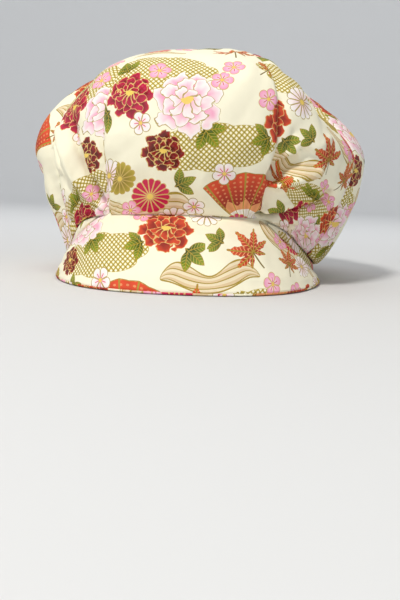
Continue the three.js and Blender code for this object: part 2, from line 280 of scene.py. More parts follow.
def fold_shape(away):
    """A fold's height as a share. Pressed cotton folds along a line, so the crest is nearly sharp."""
    return np.exp(FOLD_FALL * (CREST - np.sqrt(away**2 + CREST**2)))


def relief(turn, climb):
    full = np.sin(np.clip(climb / CROWN["belly_climb"], 0, 1) * np.pi / 2) * (1 - climb**4)
    per_degree = BELLY["half_width"] * np.pi / 180
    per_turn = per_degree * np.maximum(1 - climb, LEAST_SHARE) * FULLNESS
    per_climb = BELLY["half_width"] + CROWN["height"]
    height = np.zeros_like(climb)
    for index, (_, _, dip) in enumerate(SEAMS):
        away = turn_between(seam_turn(index, climb), turn) * per_degree
        height -= dip * SEAM_DIP * full * np.exp(-((away / SEAM_WIDTH) ** 2))
    for turn0, climb0, turn1, climb1, rise, width in FOLDS:
        line = turn_between(turn0, turn1) * per_turn, (climb1 - climb0) * per_climb
        here = turn_between(turn0, turn) * per_turn, (climb - climb0) * per_climb
        height += FOLD_HEIGHT * rise * full * fold_shape(from_line(here, line) / (FOLD_WIDTH * width))
    return height


def crown(turn, climb):
    return plain_crown(turn, climb) + normal_of(plain_crown, turn, climb) * relief(turn, climb)[..., None]


print("crown's front, at the belly:", crown(np.array([0.0]), np.array([CROWN["belly_climb"]])).round(1))

# %% [markdown]
# ## Cutting and sewing a panel
# A bmesh grid is the flat piece of cloth. Its rows run from the rim to the crown's centre, and its
# columns from seam to seam, closer together near the seams. Each vertex is moved to its place on
# the crown. The last few millimetres turn inwards, so two panels meet in a narrow groove, and small
# ripples beside the seam are the puckers that stitching leaves. The lengths measured along the
# finished rows and columns give the flat pattern back, and that is the UV map the print follows.

# %% A panel of cloth
SEAM_CROWDING, SMOOTHING_PASSES = 0.55, 30
# one unit of the pattern's UV map, in millimetres
UV_UNIT = 100


def seam_spread(share):
    """Column positions that crowd together towards both seams."""
    return (1 - SEAM_CROWDING) * share + SEAM_CROWDING * (0.5 - 0.5 * np.cos(np.pi * share))


def flat_pattern(points):
    """Where each point of a sewn grid lies on the flat cloth, in millimetres."""
    steps = np.linalg.norm(np.diff(points, axis=1), axis=-1)
    across = np.concatenate([np.zeros((len(points), 1)), np.cumsum(steps, axis=1)], axis=1)
    across -= across[:, -1:] / 2
    # cloth can't stretch along one row alone, so neighbouring rows share their lengths
    for _ in range(SMOOTHING_PASSES):
        across[1:-1] = (across[:-2] + 2 * across[1:-1] + across[2:]) / 4
    rises = np.linalg.norm(np.diff(points, axis=0), axis=-1).mean(axis=1)
    along = np.concatenate([[0], np.cumsum(rises)])
    return across, np.broadcast_to(along[:, None], across.shape)


def turned(x, y, degrees):
    cos, sin = math.cos(math.radians(degrees)), math.sin(math.radians(degrees))
    return x * cos - y * sin, x * sin + y * cos


pieces, cut_faces = {}, {}


def sewn_grid(solid, points, cut, thickness):
    """A cloth piece for a solid, from a grid of points. Its cut is x, y and turn on the cloth."""
    rows, columns = points.shape[:2]
    cloth = bmesh.new()
    bmesh.ops.create_grid(cloth, x_segments=columns - 1, y_segments=rows - 1, size=0.5)
    flat = np.array([vert.co for vert in cloth.verts])
    column = np.rint((flat[:, 0] + 0.5) * (columns - 1)).astype(int)
    row = np.rint((flat[:, 1] + 0.5) * (rows - 1)).astype(int)
    for vert, place in zip(cloth.verts, (points[row, column] - ORIGIN) / 1000):
        vert.co = place
    for face in cloth.faces:
        face.smooth = True
    mesh = bpy.data.meshes.new(solid + "_cloth")
    cloth.to_mesh(mesh)
    cloth.free()

    across, along = flat_pattern(points)
    aside, ahead = turned(across[row, column], along[row, column], cut[2])
    on_cloth = np.stack([cut[0] + aside, cut[1] + ahead], axis=-1)
    corner_vertex = np.empty(len(mesh.loops), dtype=np.int32)
    mesh.loops.foreach_get("vertex_index", corner_vertex)
    corners = on_cloth[corner_vertex]
    mesh.uv_layers.new(name="pattern").data.foreach_set("uv", (corners / UV_UNIT).astype(np.float32).ravel())
    cut_faces[solid] = corners.reshape(-1, 4, 2)

    piece = bpy.data.objects.new(mesh.name, mesh)
    bpy.context.scene.collection.objects.link(piece)
    wall = piece.modifiers.new("wall", "SOLIDIFY")
    wall.thickness = thickness / 1000
    wall.offset = -1
    wall.use_even_offset = False
    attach(piece, "root")
    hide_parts(solid)
    pieces[solid] = piece
    print(piece.name, len(mesh.vertices), "vertices")


# %% [markdown]
# Nowhere is worn cotton quite smooth. Faint creases cross the panels, and a few waves of unlike
# lengths and leans, added up, never show that they repeat.

# %% Crease the cloth
# length of a crease's wave in millimetres, lean, bend, shift
CREASE_HEIGHT = 0.45
CREASE_WAVES = [(17, 0.5, 2.1, 0.0), (23, -0.8, 1.7, 1.9), (31, 1.3, 2.6, 4.1), (13, -0.2, 1.4, 2.7)]
LONG_CREASE = 23


def creases(across, along, seed):
    """Faint creases, as sums of bent waves with narrow crests."""
    height = np.zeros_like(across)
    for length, lean, bend, shift in CREASE_WAVES:
        across_wave = across * math.cos(lean) + along * math.sin(lean)
        along_wave = along * math.cos(lean) - across * math.sin(lean)
        wave = np.sin(2 * np.pi * across_wave / length + bend * np.sin(along_wave / 19 + shift + seed) + seed)
        patch = 0.5 + 0.5 * np.sin(along_wave / 15 + across_wave / 27 + shift * 2 + seed * 3)
        height += (length / LONG_CREASE) * patch**2 * (np.abs(wave) ** 1.5 * np.sign(wave))
    return height


# %% [markdown]
# The sharp folds come next: two valleys and their ridges on the right front panel, a long valley on
# the left one, short tucks at the feet of the front seams, and a few guessed ones at the back. Each
# is a line of points on the cloth, and the height falls off with the distance from it.

# %% Fold the cloth
# folds fade out below this climb, where the band holds the cloth flat
FLAT_BELOW = 0.03
# points of turn and climb along a fold, height and width in millimetres
FOLD_LINES = [
    ([(30.5, 0.265), (33, 0.30), (36, 0.35), (38, 0.40)], -5.5, 3.2),
    ([(31, 0.225), (36, 0.27), (40, 0.305), (45, 0.34)], 3.4, 3.0),
    ([(34.5, 0.03), (38, 0.06), (41, 0.105), (44, 0.15), (47, 0.19), (51, 0.22), (57, 0.27)], -8.5, 3.2),
    ([(34, 0.08), (37, 0.10), (40, 0.14), (43, 0.185), (47, 0.225), (52, 0.27)], 4.4, 3.4),
    ([(40, 0.02), (46, 0.06), (53, 0.13)], 2.0, 3.4),
    ([(31.5, 0.30), (32, 0.38), (34, 0.46)], -3.0, 5.0),
    ([(47, 0.01), (50, 0.06), (54, 0.10)], -2.0, 1.8),
    ([(54, 0.01), (56, 0.07), (60, 0.13)], -2.2, 1.8),
    ([(60, 0.01), (62, 0.08)], -2.0, 1.8),
    ([(65, 0.01), (66, 0.09)], -1.8, 1.8),
    ([(31, 0.20), (36, 0.19), (40, 0.215)], -1.4, 2.4),
    ([(62, 0.37), (68, 0.36)], -1.2, 2.0),
    ([(-43, 0.50), (-40, 0.38), (-38.5, 0.33), (-37, 0.27), (-35.5, 0.20), (-34, 0.12)], -5.5, 2.8),
    ([(-48, 0.47), (-44, 0.36), (-42, 0.27), (-39, 0.15)], 3.4, 3.6),
    ([(-39, 0.46), (-36, 0.36), (-34.5, 0.26)], 2.0, 3.0),
    ([(-60, 0.52), (-56, 0.43), (-54, 0.36), (-52, 0.28)], -4.2, 3.0),
    ([(-66, 0.20), (-60, 0.10), (-56, 0.03)], -2.4, 2.4),
    ([(-33, 0.02), (-40, 0.11)], -1.5, 1.6),
    ([(-32.5, 0.02), (-36, 0.10)], 1.1, 1.6),
    ([(-31.8, 0.02), (-33.5, 0.13)], -1.3, 1.4),
    ([(-29, 0.02), (-25, 0.09)], -1.0, 1.6),
    ([(-28.5, 0.015), (-22.5, 0.035)], -0.8, 1.4),
    ([(32.5, 0.015), (38, 0.04)], -1.3, 1.5),
    ([(31.5, 0.03), (33.5, 0.12)], -1.3, 1.4),
    ([(29.5, 0.03), (26, 0.10)], -1.0, 1.5),
    ([(29, 0.01), (23, 0.035)], -0.8, 1.4),
    ([(74, 0.34), (79, 0.22), (82, 0.08)], -1.8, 2.4),
    ([(-78, 0.33), (-84, 0.18), (-86, 0.06)], -1.8, 2.4),
    ([(96, 0.44), (90, 0.26)], -1.6, 2.4),
    ([(118, 0.34), (126, 0.18), (129, 0.05)], -1.9, 2.6),
    ([(-150, 0.36), (-144, 0.20), (-142, 0.05)], -1.9, 2.6),
    ([(-112, 0.40), (-104, 0.22)], -1.6, 2.4),
    ([(168, 0.33), (175, 0.18), (177, 0.04)], -1.8, 2.6),
    ([(150, 0.62), (158, 0.46)], -1.6, 3.0),
    ([(-170, 0.6), (-160, 0.44)], -1.5, 3.0),
    ([(-95, 0.66), (-100, 0.5)], -1.5, 3.0),
    ([(84, 0.7), (92, 0.54)], -1.5, 3.0),
]


def folded_lines(turn, climb, across, along):
    """The sharper folds, measured on the cloth itself."""
    per_turn = np.gradient(across, axis=1) / np.gradient(turn, axis=1)
    per_climb = np.gradient(along, axis=0) / np.gradient(climb, axis=0)
    height = np.zeros_like(turn)
    for line, rise, width in FOLD_LINES:
        nearest = np.full_like(turn, 1e6)
        for (turn0, climb0), (turn1, climb1) in zip(line, line[1:]):
            stretch = turn_between(turn0, turn1) * per_turn, (climb1 - climb0) * per_climb
            here = turn_between(turn0, turn) * per_turn, (climb - climb0) * per_climb
            nearest = np.minimum(nearest, from_line(here, stretch))
        height += rise * fold_shape(nearest / width)
    return height * np.clip(climb / FLAT_BELOW, 0, 1)


# %% [markdown]
# Sewing shapes the edges. At a seam the cloth tucks in and puckers a little, and along the head band
# it is gathered, in small upright pleats that fade within a few centimetres.

# %% Sew and gather the edges
# depth of a seam's groove, and its width on the panel before and on the panel after
PLAIN_GROOVE = (1.6, 1.9, 1.9)
FRONT_GROOVES = {0: (3.2, 2.0, 6.5), 7: (2.6, 2.4, 2.4)}
PUCKER_HEIGHT, PUCKER_LENGTH, PUCKER_REACH = 0.5, 9.5, 6.0
GATHER_HEIGHT, GATHER_LENGTH, GATHER_REACH = 1.2, 12.0, 15.0


def puckers(across, along, to_seam, climb, seed):
    """The ripples that stitching leaves beside a seam."""
    side = np.sign(across)
    ripple = np.sin(2 * np.pi * along / PUCKER_LENGTH + 1.7 * side + 3.4 * np.sin(along / 13 + seed))
    strength = (0.5 + 0.5 * np.sin(along / 11 + 3 * side + seed)) * (1.2 - 0.6 * climb)
    off_stitches = 1 - np.exp(-((to_seam / 1.2) ** 2))
    return PUCKER_HEIGHT * ripple * strength * np.exp(-to_seam / PUCKER_REACH) * off_stitches


def grooves(across, along, start, end):
    """The tuck at both seams. It is shallower near the rim, and where the panel comes to a point."""
    half = across[:, -1:]
    whole = np.clip(half / 10, 0, 1) * (0.5 + 0.5 * smoothstep(along, 0, 15))
    depth_of_first, _, width_of_first = FRONT_GROOVES.get(start, PLAIN_GROOVE)
    depth_of_last, width_of_last, _ = FRONT_GROOVES.get(end, PLAIN_GROOVE)
    first = depth_of_first * np.exp(-(((half + across) / width_of_first) ** 2))
    last = depth_of_last * np.exp(-(((half - across) / width_of_last) ** 2))
    return -whole * (first + last)


def gathers(across, along, turn, seed):
    """The pleats along the head band, which are faint in the middle of the front."""
    pleat = np.sin(2 * np.pi * across / GATHER_LENGTH + 1.6 * np.sin(across / 14 + seed) + seed)
    gathered = 0.35 + 0.65 * smoothstep(np.abs(turn_between(0, turn)), 25, 45)
    return GATHER_HEIGHT * gathered * pleat * (1 - np.exp(-along / 2)) * np.exp(-along / GATHER_REACH)


# %% [markdown]
# A panel is laid over the crown row by row, and all of these heights are added along the normal.

# %% Lay a panel over the crown
ROW_POWER, TIP_CLIMB = 0.94, 0.9999
RIM_TUCK, RIM_TUCK_WIDTH = 0.6, 1.3


def panel_points(start, end, rows, columns, seed):
    climbs = np.linspace(0, 1, rows) ** ROW_POWER * TIP_CLIMB
    climb, share = np.meshgrid(climbs, seam_spread(np.linspace(0, 1, columns)), indexing="ij")
    first = seam_turn(start, climb) - (360 if start > end else 0)
    turn = first + (seam_turn(end, climb) - first) * share
    points = crown(turn, climb)
    across, along = flat_pattern(points)
    to_seam = np.maximum(across[:, -1:] - np.abs(across), 0)
    off_ends = np.clip(along / 6, 0, 1) * np.clip((along[-1:] - along) / 20, 0, 1)
    height = puckers(across, along, to_seam, climb, seed) * off_ends
    height += grooves(across, along, start, end)
    height += gathers(across, along, turn, seed)
    height += CREASE_HEIGHT * creases(across, along, seed) * off_ends * np.clip(to_seam / 6, 0.2, 1)
    height += folded_lines(turn, climb, across, along)
    height -= RIM_TUCK * np.exp(-((along / RIM_TUCK_WIDTH) ** 2))
    return points + normal_of(crown, turn, climb) * height[..., None]


# %% [markdown]
# Eight panels make the crown: the wide one in front and seven narrower ones round the back. Each is
# cut from its own place on the printed cloth, as a maker lays the pattern pieces out.

# %% Sew the crown
# first seam, last seam, columns, place x and y and turn of the cut on the cloth
PANELS = {
    "crown_front": (7, 0, 116, (60, 20, 0)),
    "crown_right_front": (0, 1, 84, (186, 216, 8)),
    "crown_right_side": (1, 2, 76, (235, 130, 0)),
    "crown_right_rear": (2, 3, 76, (30, 150, 5)),
    "crown_back": (3, 4, 76, (120, 90, 0)),
    "crown_left_rear": (4, 5, 76, (200, 60, -5)),
    "crown_left_side": (5, 6, 76, (90, 170, 0)),
    "crown_left_front": (6, 7, 84, (150, 160, -10)),
}
PANEL_ROWS, SEED_STEP = 150, 1.3
for number, (solid, (start, end, columns, cut)) in enumerate(PANELS.items()):
    sewn_grid(solid, panel_points(start, end, PANEL_ROWS, columns, number * SEED_STEP), cut, WALLS["crown"])

# %% [markdown]
# ## The peak
# Two layers of cloth, stiffened and turned at the edge. Across it, a point goes from the seam with
# the crown to the outer edge. The seam allowance inside leaves a low step just in from the edge.

# %% Shape the peak
def peak_seam_height(turn):
    start = FRONT_PANEL / 2 + SEAMS[0][0]
    strip = PEAK["strip"] * smoothstep(np.abs(turn_between(0, turn)), start, start + 16)
    return rim_height(turn) - strip - GAP


def peak(across, turn, depth):
    seam = opening(turn, peak_seam_height(turn))
    forward, sideways = quarter(PEAK["power"], np.radians(np.abs(turn)))
    edge = stack(
        PEAK["shift"] + np.sign(turn) * PEAK["half_width"] * sideways, -PEAK["reach"] * forward, 0
    )
    slope = edge - seam
    level = np.hypot(slope[..., 0], slope[..., 1])
    up = stack(-slope[..., 2] * slope[..., 0] / level, -slope[..., 2] * slope[..., 1] / level, level)
    up /= np.linalg.norm(up, axis=-1, keepdims=True)
    bulge = PEAK["bulge"] * 4 * across * (1 - across) * np.cos(np.radians(turn / PEAK["end"] * 80))
    lift = bulge + (2 * PEAK_LAYER + GAP) * across
    return mixed(seam, edge, across) + up * (lift - depth)[..., None]


# %% [markdown]
# The upper layer has soft folds near its ends, where the crown pulls on it. Both layers roll over at
# the edge, and the upper one runs on into the seam as a narrow allowance.

# %% Sew the peak
# along the peak, from turn and share across, to turn and share across, height, width
PEAK_FOLDS = [
    (38, 0.06, 62, 0.42, 1.5, 4.0), (46, 0.03, 66, 0.25, -1.3, 3.0), (-40, 0.05, -60, 0.5, 1.0, 5.0),
    (-52, 0.04, -66, 0.3, -1.0, 3.5), (8, 0.75, 30, 0.62, -0.5, 8.0), (-30, 0.7, -8, 0.85, 0.5, 9.0),
]
# the peak's cloth in millimetres, from the seam to the edge and for a degree of turn
PEAK_DEPTH, PEAK_PER_DEGREE = 62, 1.5
PEAK_ROWS = [*np.linspace(0, 0.03, 4), *np.linspace(0.05, 0.94, 34), *np.linspace(0.955, 1.0, 10)]
PEAK_COLUMNS, PEAK_CREASES = 120, 0.5
# the turned edge: depth and width. The under layer reaches out a little further
TURNED_DEPTH, TURNED_WIDTH, UNDER_REACH = 1.5, 0.9, 1.006


def peak_folds(across, turn):
    height = np.zeros_like(turn)
    for turn0, across0, turn1, across1, rise, width in PEAK_FOLDS:
        line = (turn1 - turn0) * PEAK_PER_DEGREE, (across1 - across0) * PEAK_DEPTH
        here = (turn - turn0) * PEAK_PER_DEGREE, (across - across0) * PEAK_DEPTH
        height += rise * np.exp(-((from_line(here, line) / width) ** 2))
    return height * smoothstep(across * PEAK_DEPTH, 1, 5)


def seam_allowance(turn, height, lifts, inside):
    """Rows of cloth that stand up inside the seam, at these heights over it."""
    return opening(turn[: len(lifts)], height[: len(lifts)] + np.array(lifts)[:, None], inside)


def upper_points(across, turn):
    inset, from_seam = (1 - across) * PEAK_DEPTH, across * PEAK_DEPTH
    depth = 0.35 * (1 - smoothstep(inset, 6.5, 8.0)) + TURNED_DEPTH * np.exp(-((inset / TURNED_WIDTH) ** 2))
    depth += 0.4 * np.exp(-((from_seam / 1.5) ** 2))
    off_edges = smoothstep(inset, 4, 12) * smoothstep(from_seam, 2, 10)
    depth -= off_edges * PEAK_CREASES * creases(turn * PEAK_PER_DEGREE + 400, from_seam, 5.0)
    depth -= peak_folds(across, turn)
    aside = smoothstep(np.abs(turn[:3]), 30, 42)
    allowance = seam_allowance(turn, peak_seam_height(turn), [4.0, 2.0, 0.6], 1.4 + 1.3 * aside)
    return np.concatenate([allowance, peak(across, turn, depth)])


def under_points(across, turn):
    inset = (1 - across) * PEAK_DEPTH
    depth = 2 * PEAK_LAYER + GAP - 1.2 * np.exp(-((inset / TURNED_WIDTH) ** 2))
    # the columns run the other way, so the layer faces down
    return peak(across * UNDER_REACH, turn, depth)[:, ::-1]


across, turn = np.meshgrid(PEAK_ROWS, PEAK["end"] * np.linspace(1, -1, PEAK_COLUMNS), indexing="ij")
sewn_grid("peak_upper", upper_points(across, turn), (130, 100, 180), WALLS["peak"])
sewn_grid("peak_under", under_points(across, turn), (40, 200, 0), WALLS["peak"])

# %% [markdown]
# ## The head band
# A strip of the same cloth, folded double. It stands on the surface round the sides and the back,
# and its two ends run up between the crown and the peak.

# %% Shape the band
def band_points(rows, columns):
    start = FRONT_PANEL / 2 + SEAMS[0][0] + 5
    turn = np.linspace(start, 360 - start, columns)
    from_end = np.abs(turn_between(0, turn)) - PEAK["end"]
    low = (peak_seam_height(turn) + GAP) * (1 - smoothstep(from_end, 4.5, 13.5))
    high = rim_height(turn) - GAP
    share, turns = np.meshgrid(np.linspace(0, 1, rows), turn, indexing="ij")
    wall = opening(turns, low + (high - low) * share, GAP + 0.5 * (2 * share - 1) ** 4)
    allowance = seam_allowance(turns, np.broadcast_to(high, turns.shape), [0.4, 2.0, 4.0], 2.2)
    return np.concatenate([wall, allowance])


sewn_grid("head_band", band_points(8, 240), (20, 225, 0), WALLS["band"])

# %% [markdown]
# ## Inks
# The table holds the cream of the cotton and the inks on it as they look on a screen, and `ink`
# turns them into the linear values that the shader reckons with.

# %% Mix the inks
INKS = {
    "cream": (254, 250, 226), "gold": (170, 144, 44), "pale gold": (226, 196, 120),
    "net gold": (190, 168, 60), "dark gold": (120, 100, 26), "yellow": (244, 212, 100),
    "crimson": (206, 8, 78), "wine": (126, 2, 36), "deep red": (168, 12, 36), "dark red": (92, 2, 18),
    "pink": (244, 146, 196), "soft pink": (245, 156, 196), "pale pink": (254, 218, 230),
    "white": (255, 253, 248), "orange red": (228, 72, 34), "rust": (146, 18, 10),
    "apricot": (240, 164, 108), "tan": (226, 200, 158), "leaf": (144, 166, 40), "dark leaf": (28, 60, 16),
}


def ink(name):
    share = np.array(INKS[name]) / 255
    linear = np.where(share <= 0.04045, share / 12.92, ((share + 0.055) / 1.055) ** 2.4)
    return (*(float(v) for v in linear), 1.0)


print(len(INKS), "inks, cream is", [round(v, 2) for v in ink("cream")])

# %% [markdown]
# ## The repeat of the print
# Printed cloth repeats. Ours does so every 240 by 220 mm. The motifs are common ones of old
# Japanese cottons: peonies, chrysanthemums, plum blossom, maple leaves, folding fans, sprays of
# leaves, flowing water, and clouds filled with a net. They are grouped in posies, and a table says
# where each posy lies on the repeat. Four layers are printed over each other, lowest first.

# %% Lay out the repeat
REPEAT = np.array([240.0, 220.0])

# layer, kind of drawing, petals, notch, inner rings, fade, ink, heart
MOTIFS = {
    "net": ("clouds", 1, 0, 0, 0, 0, "cream", "net gold"),
    "water": ("clouds", 2, 0, 0, 0, 0, "tan", "gold"),
    "spray": ("leaves", 1, 0, 0, 0, 0, "leaf", "dark leaf"),
    "fan": ("leaves", 2, 0, 0, 0, 0, "orange red", "rust"),
    "maple": ("blooms", 2, 0, 0, 0, 0, "orange red", "rust"),
    "red peony": ("blooms", 1, 9, 0.24, 1, 0.30, "crimson", "wine"),
    "dark peony": ("blooms", 1, 8, 0.24, 1, 0.22, "deep red", "dark red"),
    "pale peony": ("blooms", 1, 7, 0.26, 1, 0.40, "white", "soft pink"),
    "orange peony": ("blooms", 1, 8, 0.24, 1, 0.24, "orange red", "rust"),
    "red aster": ("blooms", 1, 16, 0.12, 0, 0.9, "crimson", "crimson"),
    "white aster": ("blooms", 1, 13, 0.16, 0, 0.9, "white", "pale pink"),
    "gold aster": ("blooms", 1, 14, 0.14, 0, 0.9, "net gold", "dark gold"),
    "pink plum": ("blossoms", 1, 5, 0.30, 0, 0.8, "pink", "pale pink"),
    "white plum": ("blossoms", 1, 5, 0.30, 0, 0.8, "white", "pale pink"),
    "small aster": ("blossoms", 1, 13, 0.14, 0, 0.9, "crimson", "pink"),
}

# motif, x, y, turn in degrees, half its width
POSIES = {
    "peonies": [
        ("net", 8, 16, 0, 42), ("red peony", 0, 0, 0, 16), ("pale peony", 35, -4, 20, 21),
        ("dark peony", 22, -33, 0, 13), ("pink plum", 17, 17, 10, 7.5), ("white plum", 8, -17, 40, 7),
        ("pink plum", 54, 10, 0, 7), ("spray", -15, -10, 120, 15), ("spray", 46, -20, -140, 15),
        ("spray", -4, 18, 25, 15),
    ],
    "asters": [
        ("water", 4, -10, -8, 38), ("red aster", 0, 0, 0, 12.5), ("white aster", 15, -19, 10, 11.5),
        ("gold aster", -21, 12, 0, 11), ("pink plum", -13, -10, 0, 7.5), ("spray", 16, 8, -60, 14),
        ("white plum", 27, -7, 30, 7),
    ],
    "fan": [
        ("fan", 0, 0, 0, 34), ("maple", 34, 12, -40, 17), ("white plum", -25, 14, 0, 7.5),
        ("small aster", -5, -19, 0, 9), ("pink plum", 12, -20, 0, 7),
    ],
    "maples": [
        ("maple", 0, 0, 15, 19), ("maple", 27, -17, -35, 16), ("pink plum", 4, -22, 0, 7),
        ("spray", -16, 14, 40, 13),
    ],
    "orange": [
        ("orange peony", 0, 0, 0, 17), ("white aster", 24, 14, 0, 11), ("pink plum", -15, 12, 0, 7),
        ("spray", 14, -14, -130, 15), ("spray", -14, -10, 110, 14),
    ],
}

# posy or motif, x, y, turn, and half its width where it is a single motif
LAYOUT = [
    ("peonies", 24, 96, 0), ("fan", 104, 32, -12), ("asters", 40, 34, 0), ("orange", 122, 84, 0),
    ("peonies", 158, 158, 8), ("fan", 36, 172, 14), ("asters", 216, 90, -16), ("maples", 176, 70, 25),
    ("asters", 104, 190, 12), ("maples", 84, 140, -10), ("orange", 226, 34, 0), ("peonies", 172, 18, -8),
    ("net", 76, 66, 6, 36), ("net", 134, 118, -5, 38), ("net", 66, 8, 0, 34), ("net", 222, 136, 4, 36),
    ("water", 150, 56, 4, 30), ("water", 22, 140, 10, 32), ("water", 236, 186, -10, 32),
]

LAYERS = {"clouds": [], "leaves": [], "blooms": [], "blossoms": []}
for name, x, y, turn, *half in LAYOUT:
    for motif, dx, dy, own_turn, size in POSIES.get(name, [(name, 0, 0, 0, *half)]):
        aside, ahead = turned(dx, dy, turn)
        LAYERS[MOTIFS[motif][0]].append((motif, x + aside, y + ahead, turn + own_turn, size))
print({layer: len(rows) for layer, rows in LAYERS.items()}, "motifs a repeat")

# %% [markdown]
# The print is carried by the mesh itself. For every face and every layer, the nearest motif is
# found, and a UV map of that layer holds the face's corners as the motif sees them: its middle at
# the origin, its edge at 1. Face attributes say which motif it is, how large, and in which inks.
# So one short drawing in nodes serves every flower of its kind, wherever it lies on the cloth.

# %% Print a layer on a mesh
# clouds and water are this many times as wide as high
CLOUD_FLATNESS = 2.3


def print_layer(mesh, layer, corners, centres):
    rows = LAYERS[layer]
    middles = np.array([row[1:3] for row in rows])
    turns = np.radians([row[3] for row in rows])
    sizes = np.array([row[4] for row in rows], dtype=float)
    cos, sin = np.cos(turns), np.sin(turns)
    shift = centres[:, None, :] - middles[None]
    wrapped = (shift + REPEAT / 2) % REPEAT - REPEAT / 2
    x = (wrapped[..., 0] * cos + wrapped[..., 1] * sin) / sizes
    y = (wrapped[..., 1] * cos - wrapped[..., 0] * sin) / sizes
    flat = np.array([CLOUD_FLATNESS if row[0] in ("net", "water") else 1.0 for row in rows])
    nearest = np.argmin(np.hypot(x, y * flat), axis=1)
    offset = (shift - wrapped)[np.arange(len(centres)), nearest]
    local = corners - (middles[nearest] + offset)[:, None, :]
    cos, sin, size = cos[nearest][:, None], sin[nearest][:, None], sizes[nearest][:, None]
    place = np.stack([
        (local[..., 0] * cos + local[..., 1] * sin) / size,
        (local[..., 1] * cos - local[..., 0] * sin) / size,
    ], axis=-1)
    mesh.uv_layers.new(name=layer).data.foreach_set("uv", place.astype(np.float32).ravel())
    facts = [MOTIFS[row[0]] for row in rows]
    for label, values in (
        ("kind", [(fact[1], fact[2], size) for fact, size in zip(facts, sizes)]),
        ("form", [(fact[3], fact[4], fact[5]) for fact in facts]),
        ("ink", [ink(fact[6])[:3] for fact in facts]),
        ("heart", [ink(fact[7])[:3] for fact in facts]),
    ):
        attribute = mesh.attributes.new(layer + "_" + label, "FLOAT_VECTOR", "FACE")
        attribute.data.foreach_set("vector", np.array(values, dtype=np.float32)[nearest].ravel())


for solid, corners in cut_faces.items():
    for layer in LAYERS:
        print_layer(pieces[solid].data, layer, corners, corners.mean(axis=1))
print("printed", sum(len(corners) for corners in cut_faces.values()), "faces")


# %% [markdown]
# ## Drawing with nodes
# A Math node does one sum, so a drawing takes dozens of them. This small class lets the sums be
# written as sums: every plus, minus, times or power on a `Value` adds one node and its links.

# %% A value in a node tree
class Value:
    def __init__(self, tree, socket):
        self.tree, self.socket = tree, socket

    def step(self, operation, *others):
        return node(self.tree, "ShaderNodeMath", self, *others, operation=operation)

    def __rsub__(self, other):
        return self.step("MULTIPLY_ADD", -1.0, other)

    def __rtruediv__(self, other):
        return node(self.tree, "ShaderNodeMath", other, self, operation="DIVIDE")


def math_step(operation):
    return lambda value, *others: value.step(operation, *others)


SUMS = {
    "__add__": "ADD", "__radd__": "ADD", "__sub__": "SUBTRACT", "__mul__": "MULTIPLY",
    "__truediv__": "DIVIDE", "__pow__": "POWER", "__abs__": "ABSOLUTE",
    "__lt__": "LESS_THAN", "__gt__": "GREATER_THAN",
}
for sign, operation in SUMS.items():
    setattr(Value, sign, math_step(operation))


def feed(tree, value, socket):
    if isinstance(value, Value):
        tree.links.new(value.socket, socket)
    else:
        socket.default_value = value


def node(tree, kind, *values, output=0, **settings):
    """Adds any node, feeds its inputs in order, and gives one output as a Value."""
    made = tree.nodes.new(kind)
    for name, setting in settings.items():
        setattr(made, name, setting)
    for socket, value in zip(made.inputs, values):
        if value is not None:
            feed(tree, value, socket)
    return Value(tree, made.outputs[output])


def split(tree, vector):
    parts = tree.nodes.new("ShaderNodeSeparateXYZ")
    feed(tree, vector, parts.inputs[0])
    return [Value(tree, socket) for socket in parts.outputs]


def between(a, b, share):
    """One number or the other, as the share goes from 0 to 1."""
    tree = next(v.tree for v in (a, b, share) if isinstance(v, Value))
    return node(tree, "ShaderNodeMix", share, None, a, b)


def paint(tree, below, above, where):
    """Lays one colour over another wherever the mask is 1."""
    made = tree.nodes.new("ShaderNodeMix")
    made.data_type = "RGBA"
    for index, value in ((0, where), (6, below), (7, above)):
        feed(tree, value, made.inputs[index])
    return Value(tree, made.outputs[2])


MOTIF_TAKES = {"Place": "Vector", "Kind": "Vector", "Form": "Vector", "Ink": "Color", "Heart": "Color"}
MOTIF_GIVES = {"Color": "Color", "Mask": "Float"}


def new_group(name, takes=MOTIF_TAKES, gives=MOTIF_GIVES):
    """An empty node group, and its inputs as Values. A motif's group gives a colour and a mask."""
    tree = bpy.data.node_groups.new(name, "ShaderNodeTree")
    for label, kind in takes.items():
        tree.interface.new_socket(label, in_out="INPUT", socket_type="NodeSocket" + kind)
    for label, kind in gives.items():
        tree.interface.new_socket(label, in_out="OUTPUT", socket_type="NodeSocket" + kind)
    entry = tree.nodes.new("NodeGroupInput")
    return tree, [Value(tree, entry.outputs[label]) for label in takes]


def close_group(tree, *values):
    leave = tree.nodes.new("NodeGroupOutput")
    for socket, value in zip(leave.inputs, values):
        feed(tree, value, socket)
    print(tree.name, "group:", len(tree.nodes), "nodes")


# %% [markdown]
# Flowers of every kind are one drawing. The angle round the middle is folded, so that it runs from
# 0 along a petal to 1 between two petals, and the petals' edge dips between them. Peonies have two
# more rings of petals inside, turned by half a petal. Gold lines follow each edge.

# %% Draw a flower
GOLD = ink("gold")


def polar(tree, x, y):
    radius = (x * x + y * y) ** 0.5
    return radius, y.step("ARCTAN2", x)


